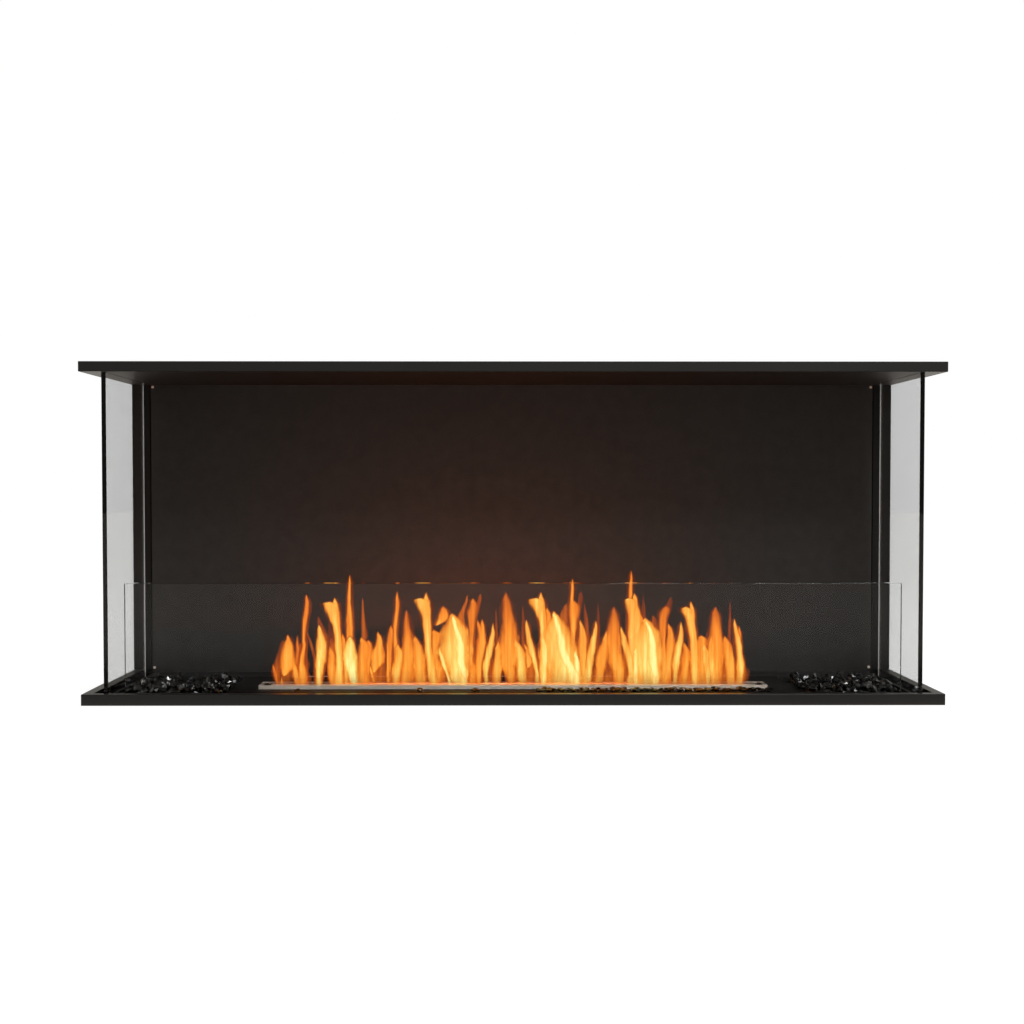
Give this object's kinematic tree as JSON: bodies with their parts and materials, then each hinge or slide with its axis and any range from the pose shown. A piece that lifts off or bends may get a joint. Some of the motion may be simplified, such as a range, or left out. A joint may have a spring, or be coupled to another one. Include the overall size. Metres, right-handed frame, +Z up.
{
  "type": "bioethanol fireplace insert",
  "caption": "Wide three-sided ethanol firebox: black steel top and tray, clear side panes, low front glass, slot burner with sliding shutter and boxes of black glass chunks.",
  "frame": {"origin": "middle of the underside of the base tray, on the surface it stands on", "axes": "+Z up, -Y out of the open front, +X to the right of someone facing the front"},
  "size_m": [1.524, 0.44, 0.605],
  "materials": {
    "black_steel": "matt black powder coat",
    "back_board": "black coated fibre-cement board with a fine mottle",
    "stainless": "fine brushed, lightly heat tinted",
    "sooted_steel": "heat-darkened and sooted stainless",
    "zinc_steel": "zinc plated",
    "clear_glass": "clear toughened, ground edges",
    "black_glass": "glossy broken facets",
    "silicone": "matt black",
    "ceramic_fibre": "pressed fibre board"
  },
  "bodies": {
    "firebox": {"base_tray": "black_steel", "rear_deck": "black_steel", "side_channel_left": "black_steel", "side_channel_right": "black_steel", "front_channel": "black_steel", "top_channel_left": "black_steel", "top_channel_right": "black_steel", "top_shell": "black_steel", "top_liner": "black_steel", "top_stiffeners": "black_steel", "stile_left": "black_steel", "stile_right": "black_steel", "back_rail_lower": "black_steel", "back_rail_upper": "black_steel", "rear_cover": "black_steel", "back_panel": "back_board", "panel_screws": "stainless", "cover_screws": "zinc_steel", "frame_bolts": "zinc_steel", "frame_nuts": "zinc_steel", "wall_nuts": "zinc_steel", "side_glass_left": "clear_glass", "side_glass_right": "clear_glass", "lower_gasket_left": "silicone", "lower_gasket_right": "silicone", "upper_gasket_left": "silicone", "upper_gasket_right": "silicone", "front_gasket": "silicone", "top_insulation": "ceramic_fibre", "back_insulation": "ceramic_fibre"},
    "burner": {"fuel_tank": "stainless", "burner_neck": "sooted_steel", "burner_cover": "black_steel", "burner_frame": "stainless", "burner_wick": "ceramic_fibre", "wick_grate": "sooted_steel", "shutter_runners": "sooted_steel", "media_stones_front": "black_glass"},
    "shutter": {"burner_shutter": "sooted_steel", "shutter_knobs": "sooted_steel"},
    "media_left": {"media_box_left": "black_steel", "media_stones_left": "black_glass"},
    "media_right": {"media_box_right": "black_steel", "media_stones_right": "black_glass"},
    "front_screen": {"front_glass": "clear_glass"}
  },
  "joints": [
    {"name": "burner_lift", "type": "slide", "parent": "firebox", "child": "burner", "axis": [0, 0, 1], "range_m": [0, 0.15]},
    {"name": "shutter_slide", "type": "slide", "parent": "burner", "child": "shutter", "axis": [0, 1, 0], "range_m": [0, 0.0164]},
    {"name": "media_left_lift", "type": "slide", "parent": "firebox", "child": "media_left", "axis": [0, 0, 1], "range_m": [0, 0.12]},
    {"name": "media_right_lift", "type": "slide", "parent": "firebox", "child": "media_right", "axis": [0, 0, 1], "range_m": [0, 0.12]},
    {"name": "front_glass_lift", "type": "slide", "parent": "firebox", "child": "front_screen", "axis": [0, 0, 1], "range_m": [0, 0.2]}
  ]
}
